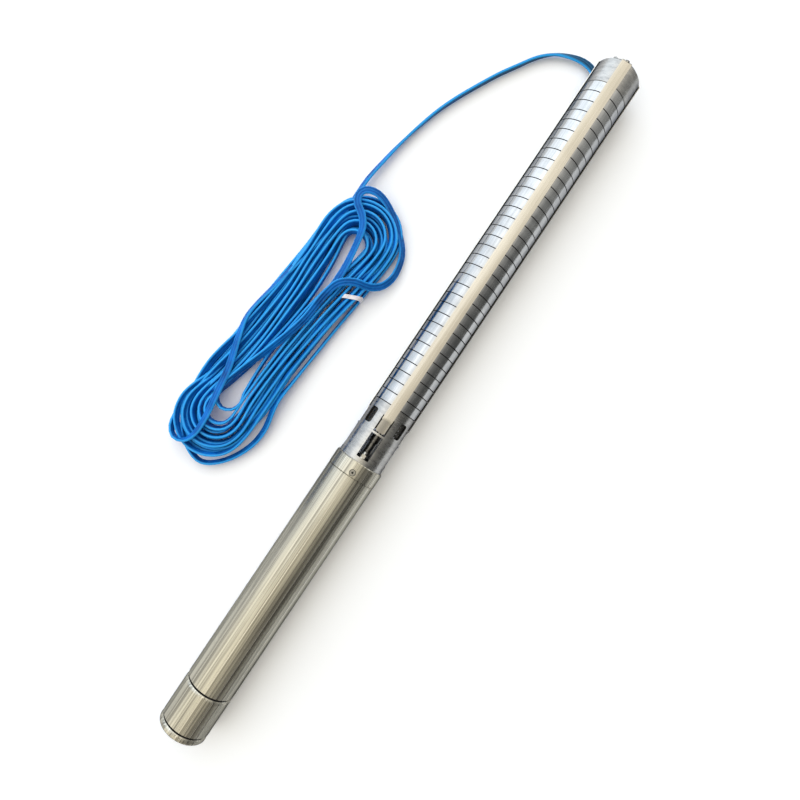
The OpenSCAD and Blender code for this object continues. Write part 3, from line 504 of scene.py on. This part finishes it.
# Strands that leave the order of the turns, in the hank's own millimetres: along, across, height and lean
OVER_LEFT = [
    (227, 53, 18, 38), (161, 57, 22, 42), (109, 61, 25, 42), (45, 67, 26, 38), (-6, 72, 27, 30),
    (-38, 70, 30, 35), (-74, 57, 35, 55), (-129, 35, 37, 70), (-188, 20, 36, 65), (-235, 9, 35, 55),
    (-268, 6, 36, 45), (-290, 14, 34, 25), (-298, 34, 30, 15), (-286, 52, 26, 12), (-258, 62, 20, 12),
]
LOW_LEFT = [
    (-84, -74, 18, 20), (-127, -75, 22, 40), (-184, -89, 16, 45), (-230, -86, 12, 38),
    (-279, -64, 12, 30), (-306, -33, 14, 22), (-300, 2, 17, 20), (-278, 34, 15, 20), (-240, 58, 12, 20),
]
OVER_RIGHT = [
    (-172, -23, 26, 14), (-190, -18, 26, 10), (-200, 0, 26, 8), (-190, 19, 27, 12), (-168, 24, 29, 18),
    (-118, 14, 33, 25), (-63, -1, 36, 38), (23, -19, 39, 55), (90, -21, 42, 65), (122, -28, 44, 70),
    (143, -50, 41, 75), (155, -76, 30, 70), (175, -92, 20, 60), (205, -96, 16, 50), (245, -82, 14, 45),
    (272, -54, 15, 50), (295, -14, 20, 60), (303, 14, 27, 70), (301, 32, 31, 78), (291, 46, 35, 84),
    (275, 49, 37, 85), (261, 39, 37, 82), (251, 21, 37, 75), (233, 5, 36, 66), (203, -5, 34, 58),
    (160, -15, 33, 62), (122, -20, 33, 76), (96, -21, 33, 82),
]


def in_hank(u, v, z, lean):
    """A place in the hank's own millimetres, along and across it, as a stop of the route in metres."""
    c, s = math.cos(HANK_ANGLE), math.sin(HANK_ANGLE)
    x = HANK_CENTRE[0] + (u * c - v * s) / 1000
    y = HANK_CENTRE[1] + (u * s + v * c) / 1000
    return (x, y, z / 1000, lean)


def turn(k):
    """One turn: along the upper run, round the right end, back and round the left end.

    The first, which is the outermost, leaves by the low strand, and the last stops where the strand over it begins.
    """
    place = (TURNS - 1 - k) / (TURNS - 1)
    v, left_end, right_end, waist = (
        inner + gain * place for inner, gain in (TURN_HALF_WIDTH, TURN_LEFT_END, TURN_RIGHT_END, TURN_WAIST)
    )
    left_end += END_STRAY * math.sin(2.3 * k + 0.5)
    right_end += END_STRAY * math.sin(1.7 * k + 2.0)
    z = LAYERS[k % len(LAYERS)]
    lean = TURN_LEAN[0] + TURN_LEAN[1] * math.sin(1.7 * k)
    upper = [
        (u, v - waist * pull + SIDE_STRAY * math.sin(2.4 * k + wander), z, lean)
        for u, pull, wander in UPPER_RUN
    ]
    right = [(right_end - a * v, b * v, z, lean * c) for a, b, c in END_BEND]
    lower = [
        (u, waist * pull - v + SIDE_STRAY * math.sin(1.9 * k + wander), z, lean)
        for u, pull, wander in LOWER_RUN
    ]
    left = [(a * v - left_end, -b * v, z, lean * c) for a, b, c in END_BEND]
    if k == 0:
        return upper + right + lower[:2] + LOW_LEFT
    if k == TURNS - 1:
        return upper + right + lower
    return upper + right + lower + left


def smooth(stops, step):
    """Stops about a step apart on a smooth curve through the given ones."""
    out = []
    last = len(stops) - 1
    for i in range(last):
        before, a, b, after = stops[max(i - 1, 0)], stops[i], stops[i + 1], stops[min(i + 2, last)]
        d = math.dist(a[:3], b[:3])
        d_in = math.dist(before[:3], a[:3]) if i else d
        d_out = math.dist(b[:3], after[:3]) if i + 1 < last else d
        count = max(1, round(d / step))
        for j in range(count):
            t = j / count
            t2, t3 = t * t, t * t * t
            stop = []
            for axis in range(4):
                straight = b[axis] - a[axis]
                m_in = (b[axis] - before[axis]) * d / (d_in + d) if i else straight
                m_out = (after[axis] - a[axis]) * d / (d + d_out) if i + 1 < last else straight
                stop.append((2 * t3 - 3 * t2 + 1) * a[axis] + (t3 - 2 * t2 + t) * m_in
                            + (3 * t2 - 2 * t3) * b[axis] + (t3 - t2) * m_out)
            out.append(tuple(stop))
    out.append(stops[-1])
    return out


# Half outline of the flat cable: three cores under one sheath, in millimetres
HALF = [
    (7.5, 0), (7.2, 1.3), (6.5, 2.2), (5.1, 2.75), (3.6, 2.45), (2.6, 1.5), (1.6, 2.45), (0, 2.75),
    (-1.6, 2.45), (-2.6, 1.5), (-3.6, 2.45), (-5.1, 2.75), (-6.5, 2.2), (-7.2, 1.3),
]
OUTLINE = HALF + [(-x, -y) for x, y in HALF]
# How far the sheath takes on a paler colour at each point of the half outline, a painted highlight: most on the
# edges, not at all in the grooves
HALF_EDGE_HIGHLIGHT = [1, 0.85, 0.45, 0.2, 0.1, 0, 0.1, 0.2, 0.1, 0, 0.1, 0.2, 0.45, 0.85]

cable_stops = LEAD + [in_hank(*p) for p in OVER_LEFT]
for k in range(TURNS):
    cable_stops += [in_hank(*p) for p in turn(k)]
cable_stops += [in_hank(*p) for p in OVER_RIGHT]
route = smooth(cable_stops, ROUTE_STEP)
path = [Vector(p[:3]) for p in route]
cable_verts = []
for i, stop in enumerate(route):
    ahead = (path[min(i + 1, len(path) - 1)] - path[max(i - 1, 0)]).normalized()
    if i == 0:
        ahead = Vector((1, 0, 0))
    left = Vector((0, 0, 1)).cross(ahead).normalized()
    lean = math.radians(stop[3])
    across = math.cos(lean) * ahead.cross(left) + math.sin(lean) * left
    thick = ahead.cross(across)
    cable_verts += [path[i] + across * (x / 1000) + thick * (y / 1000) for x, y in OUTLINE]
cable_faces = grid_faces(len(route), len(OUTLINE))
cable_faces += end_caps(len(cable_verts), len(OUTLINE))
# The cable darkens towards the pump's head: painted shade
cable_paint = plastic(
    "cable_sheath", (0.0, 0.038, 0.24), (0.001, 0.15, 0.64), (0.22, 0.34), (25, 25, 25), gleam=0.15,
    painted_shade_along=((0.0, 0.03, 0.075), 0.36, 0.60), painted_edge_highlight=(0.03, 0.38, 0.93),
)
cable = mesh_object("cable", cable_verts, cable_faces, "blue_cable", cable_paint)
# The sheath's paler edges are a painted highlight
edge_highlight = cable.data.attributes.new("edge_highlight", "FLOAT", "POINT")
edge_highlight.data.foreach_set("value", HALF_EDGE_HIGHLIGHT * (2 * len(route)))

# Tie: a plain band laid askew round the lower run of the hank, in the hank's own millimetres
TIE_ALONG = 118
TIE_SKEW = -0.55
TIE_W = 9
TIE_RUN = (-78, -44)
TIE_RISE = (0.6, 34)
TIE_T = 1.2
TIE_CORNER = 9
TIE_CORNER_STEPS = 6


def band(grow):
    """Corner-rounded outline of the tie across the hank, in millimetres."""
    out = []
    for cx, cz, start in ((TIE_RUN[1], TIE_RISE[1], 0), (TIE_RUN[0], TIE_RISE[1], 90),
                          (TIE_RUN[0], TIE_RISE[0], 180), (TIE_RUN[1], TIE_RISE[0], 270)):
        mid_x = cx - math.copysign(TIE_CORNER, cx - sum(TIE_RUN) / 2)
        mid_z = cz - math.copysign(TIE_CORNER, cz - sum(TIE_RISE) / 2)
        for j in range(TIE_CORNER_STEPS + 1):
            a = math.radians(start + 90 / TIE_CORNER_STEPS * j)
            out.append((mid_x + (TIE_CORNER + grow) * math.cos(a), mid_z + (TIE_CORNER + grow) * math.sin(a)))
    return out


tie_verts = []
inner, outer = band(-TIE_T), band(0)
for (xi, zi), (xo, zo) in zip(inner, outer):
    for side, v, z in ((-1, xi, zi), (1, xi, zi), (1, xo, zo), (-1, xo, zo)):
        along = TIE_ALONG + TIE_SKEW * (v - sum(TIE_RUN) / 2)
        tie_verts.append(in_hank(along + side * TIE_W / 2, v, z, 0)[:3])
tie_faces = grid_faces(len(inner), 4)
last_ring = (len(inner) - 1) * 4
tie_faces += [(last_ring + j, last_ring + (j + 1) % 4, (j + 1) % 4, j) for j in range(4)]
tie = mesh_object("tie", tie_verts, tie_faces, "white_tie")
for poly in tie.data.polygons:
    poly.use_smooth = False
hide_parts("cable_lead", "cable_hank")
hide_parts("cable_tie")


# Floor, light and surroundings

# The floor's colour is lifted to white alike for the camera, for reflections and through clear pieces
FLOOR_TINT = (0.95, 0.99, 1.08)
FLOOR_LEVEL = 0.80
FLOOR_LIFT = 0.22
FLOOR_MOTTLE = 0.02
FLOOR_REACH = 40

floor_paint = Paint("floor")
rays = floor_paint.node("ShaderNodeLightPath")
seen = rays.outputs["Is Camera Ray"]
for kind in ("Is Glossy Ray", "Is Transmission Ray"):
    seen = floor_paint.math("MAXIMUM", seen, rays.outputs[kind])
level = floor_paint.math("MULTIPLY_ADD", seen, FLOOR_LIFT, FLOOR_LEVEL)
mottle = floor_paint.math("MULTIPLY_ADD", floor_paint.noise((3, 3, 3)), FLOOR_MOTTLE, level)
grey = floor_paint.node("ShaderNodeCombineColor")
for channel, share in enumerate(FLOOR_TINT):
    floor_paint.link(floor_paint.math("MULTIPLY", mottle, share), grey.inputs[channel])
floor_paint.link(grey.outputs[0], floor_paint.shader.inputs["Base Color"])
floor_paint.set(Roughness=0.85, Specular_IOR_Level=0.0)
floor_mesh = bpy.data.meshes.new("floor")
floor_corners = [(x * FLOOR_REACH, y * FLOOR_REACH, 0) for x, y in ((-1, -1), (1, -1), (1, 1), (-1, 1))]
floor_mesh.from_pydata(floor_corners, [], [(0, 1, 2, 3)])
floor_mesh.materials.append(floor_paint.mat)
obj = bpy.data.objects.new("floor", floor_mesh)
SCENE.collection.objects.link(obj)

# Surroundings: window light on the left, strongest past the pump's head, a warm ceiling, and a dim right side
WORLD_STRENGTH = 0.84
# Directions along the pump between which the light of one part turns into the next
MOTOR_TO_HEAD = (-0.35, 0.15)
HEAD_TO_WINDOW = (0.25, 0.55)

world = bpy.data.worlds.new("surroundings")
SCENE.world = world
world.use_nodes = True
tree = world.node_tree
coords = tree.nodes.new("ShaderNodeTexCoord")
split = tree.nodes.new("ShaderNodeSeparateXYZ")
tree.links.new(coords.outputs["Generated"], split.inputs[0])


def world_ramp(stops):
    """Light by direction across the pump, from its right at 0 to its left at 1."""
    shift = tree.nodes.new("ShaderNodeMath")
    shift.operation = "MULTIPLY_ADD"
    shift.inputs[1].default_value = 0.5
    shift.inputs[2].default_value = 0.5
    tree.links.new(split.outputs["Y"], shift.inputs[0])
    ramp = tree.nodes.new("ShaderNodeValToRGB")
    set_stops(ramp, stops)
    tree.links.new(shift.outputs[0], ramp.inputs["Fac"])
    return ramp.outputs["Color"]


head_side = world_ramp([
    (0.0, (0.16, 0.16, 0.15)), (0.09, (0.18, 0.18, 0.17)), (0.18, (0.32, 0.31, 0.29)),
    (0.28, (0.72, 0.69, 0.62)), (0.35, (0.92, 0.87, 0.75)), (0.43, (1.15, 1.04, 0.84)),
    (0.51, (1.42, 1.28, 1.02)), (0.60, (1.36, 1.26, 1.06)), (0.70, (1.34, 1.29, 1.18)),
    (0.82, (1.60, 1.64, 1.66)), (0.91, (2.00, 2.10, 2.20)), (0.97, (1.60, 1.75, 1.90)),
    (1.0, (1.20, 1.35, 1.50)),
])
window_side = world_ramp([
    (0.0, (0.38, 0.38, 0.36)), (0.18, (0.58, 0.57, 0.53)), (0.28, (1.05, 1.00, 0.90)),
    (0.36, (1.28, 1.20, 1.04)), (0.44, (1.42, 1.31, 1.09)), (0.51, (1.62, 1.48, 1.20)),
    (0.58, (1.84, 1.73, 1.49)), (0.67, (2.20, 2.26, 2.26)), (0.81, (2.20, 2.36, 2.48)),
    (0.93, (2.20, 2.34, 2.46)), (1.0, (1.20, 1.34, 1.46)),
])
motor_side = world_ramp([
    (0.0, (0.12, 0.12, 0.11)), (0.14, (0.22, 0.21, 0.19)), (0.20, (0.30, 0.28, 0.25)),
    (0.30, (0.60, 0.56, 0.47)), (0.37, (0.80, 0.74, 0.60)), (0.44, (1.10, 1.00, 0.80)),
    (0.53, (1.70, 1.58, 1.30)), (0.64, (1.80, 1.70, 1.46)), (0.76, (1.74, 1.67, 1.46)),
    (0.85, (1.74, 1.68, 1.50)), (0.92, (1.58, 1.56, 1.48)), (0.97, (1.08, 1.09, 1.10)),
    (1.0, (0.90, 0.94, 0.98)),
])


def cross_over(before, after, start, end):
    """One ramp that turns into another between two directions along the pump."""
    step = tree.nodes.new("ShaderNodeMapRange")
    step.interpolation_type = "SMOOTHSTEP"
    step.inputs["From Min"].default_value = start
    step.inputs["From Max"].default_value = end
    tree.links.new(split.outputs["X"], step.inputs["Value"])
    mixed = tree.nodes.new("ShaderNodeMix")
    mixed.data_type = "RGBA"
    tree.links.new(step.outputs["Result"], mixed.inputs[0])
    tree.links.new(before, mixed.inputs[6])
    tree.links.new(after, mixed.inputs[7])
    return mixed.outputs[2]


surround = cross_over(cross_over(motor_side, head_side, *MOTOR_TO_HEAD), window_side, *HEAD_TO_WINDOW)
tree.links.new(surround, tree.nodes["Background"].inputs["Color"])
tree.nodes["Background"].inputs["Strength"].default_value = WORLD_STRENGTH

KEY_AT = Vector((0.4, 1.2, 2.2))
KEY_AIM = Vector((0, 0.1, 0))

key_data = bpy.data.lights.new("key", "AREA")
key_data.shape = "RECTANGLE"
key_data.size, key_data.size_y = 3.0, 2.2
key_data.energy = 9
key_data.color = (0.97, 0.99, 1.0)
key = bpy.data.objects.new("key", key_data)
key.location = KEY_AT
key.rotation_euler = (KEY_AIM - KEY_AT).to_track_quat("-Z", "Y").to_euler()
SCENE.collection.objects.link(key)
